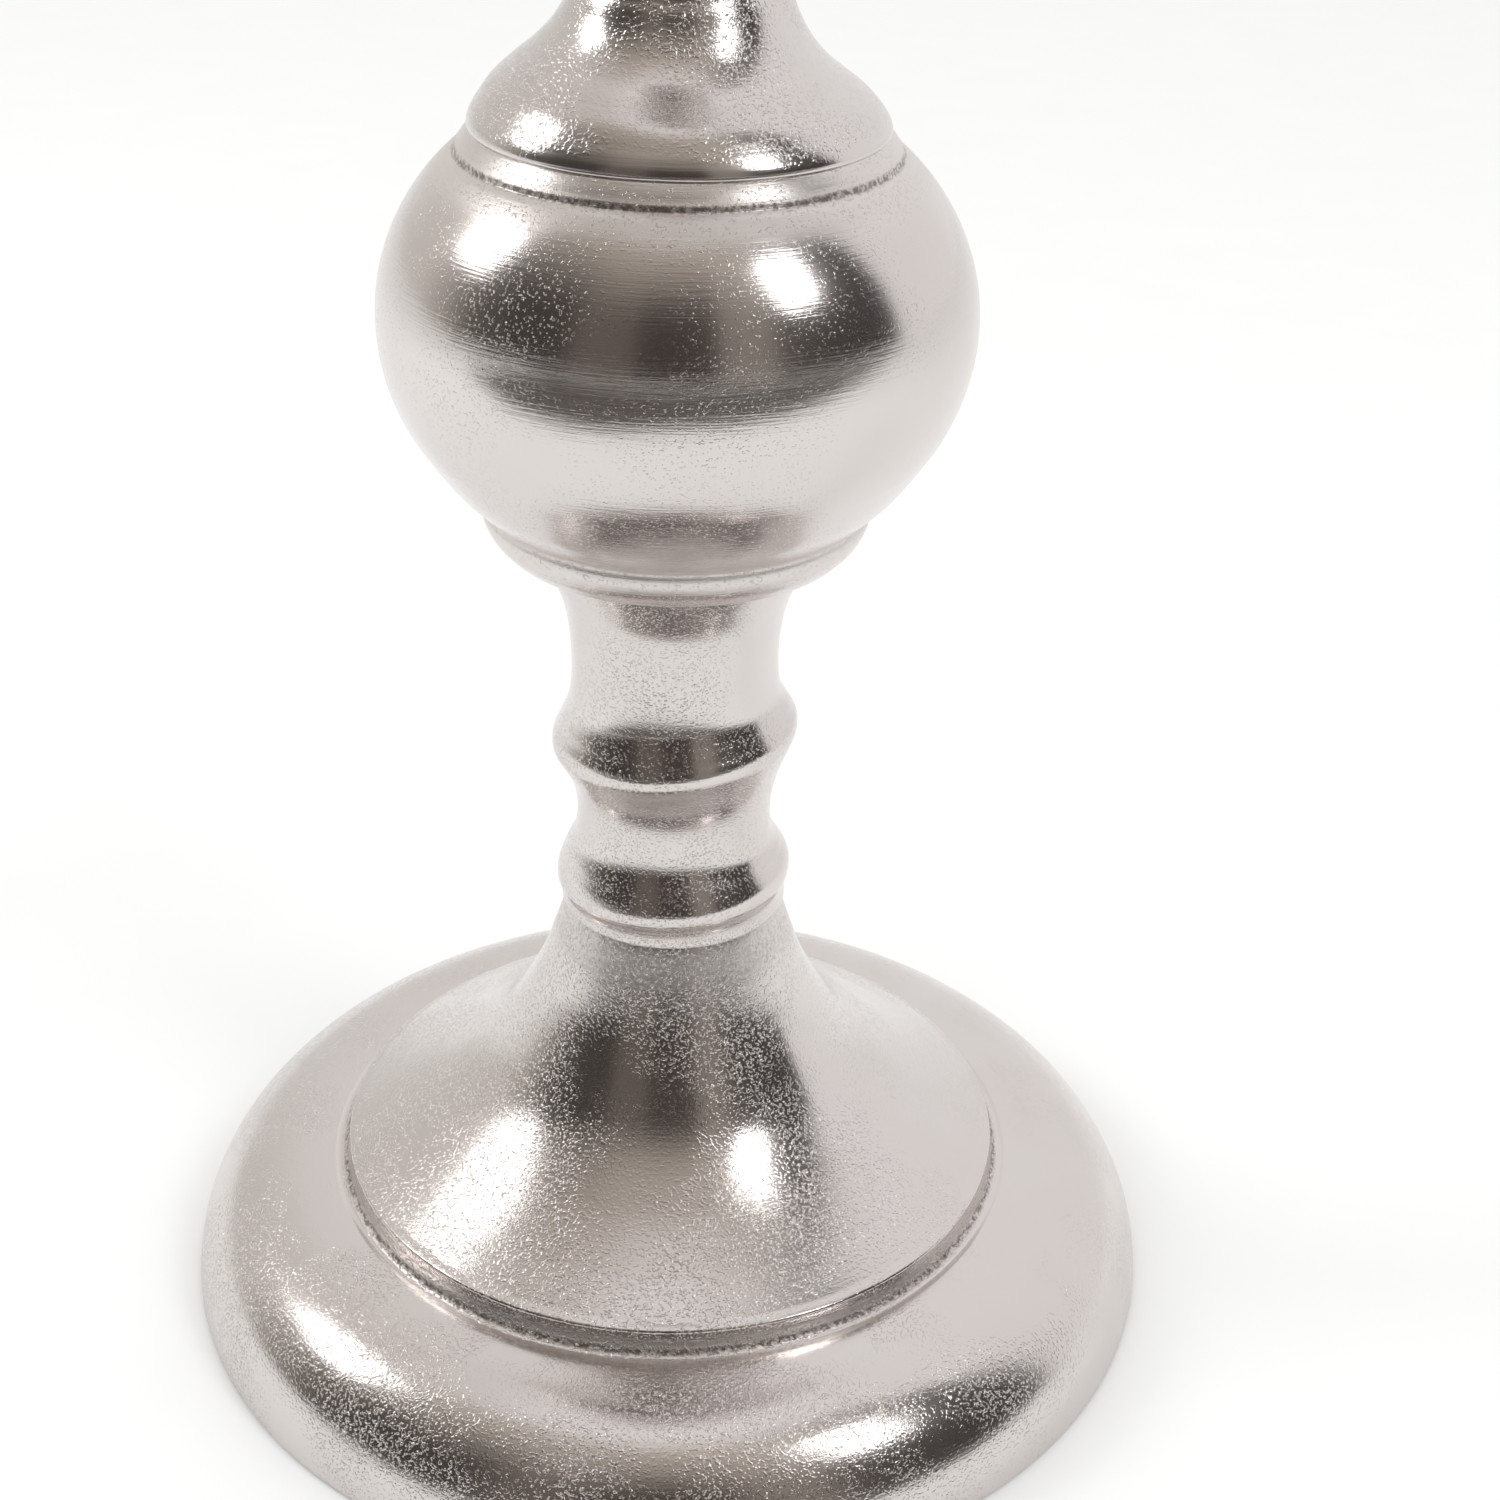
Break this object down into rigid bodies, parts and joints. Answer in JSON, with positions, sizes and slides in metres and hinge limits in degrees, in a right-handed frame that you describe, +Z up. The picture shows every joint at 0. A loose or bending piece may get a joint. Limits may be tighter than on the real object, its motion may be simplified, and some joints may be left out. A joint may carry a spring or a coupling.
{
  "type": "altar candlestick",
  "caption": "Turned metal altar candlestick: domed foot, beaded neck, ball knop, slim stem, flared capital, and a loose drip pan over a pricket spike.",
  "frame": {"origin": "centre of the felt's underside, on the plane the candlestick stands on", "axes": "+Z up along the candlestick's axis; +X and +Y are arbitrary, because every casting is turned"},
  "size_m": [0.2, 0.2, 0.618],
  "materials": {
    "cast_aluminium": "hand-buffed sand casting, satin to bright, fine pits",
    "nickelled_steel": "satin nickel plate",
    "zinc_steel": "zinc plate",
    "cast_iron": "black paint on a rough casting",
    "fibreboard": "sawn, unpainted",
    "felt": "short nap"
  },
  "bodies": {
    "stand": {"base_casting": "cast_aluminium", "neck_casting": "cast_aluminium", "knop_casting": "cast_aluminium", "stem_casting": "cast_aluminium", "upper_neck_casting": "cast_aluminium", "capital_casting": "cast_aluminium", "pricket_spike": "nickelled_steel", "tie_rod": "zinc_steel", "rod_nut_top": "zinc_steel", "rod_washer_top": "zinc_steel", "rod_nut_bottom": "zinc_steel", "rod_lock_washer": "zinc_steel", "rod_washer_bottom": "zinc_steel", "ballast_plate": "cast_iron", "base_board": "fibreboard", "board_screw_1": "zinc_steel", "board_screw_2": "zinc_steel", "board_screw_3": "zinc_steel", "felt_pad": "felt"},
    "pan": {"drip_pan": "cast_aluminium"}
  },
  "joints": [
    {"name": "pan_lift", "type": "slide", "parent": "stand", "child": "pan", "axis": [0, 0, 1], "range_m": [0, 0.1]}
  ]
}
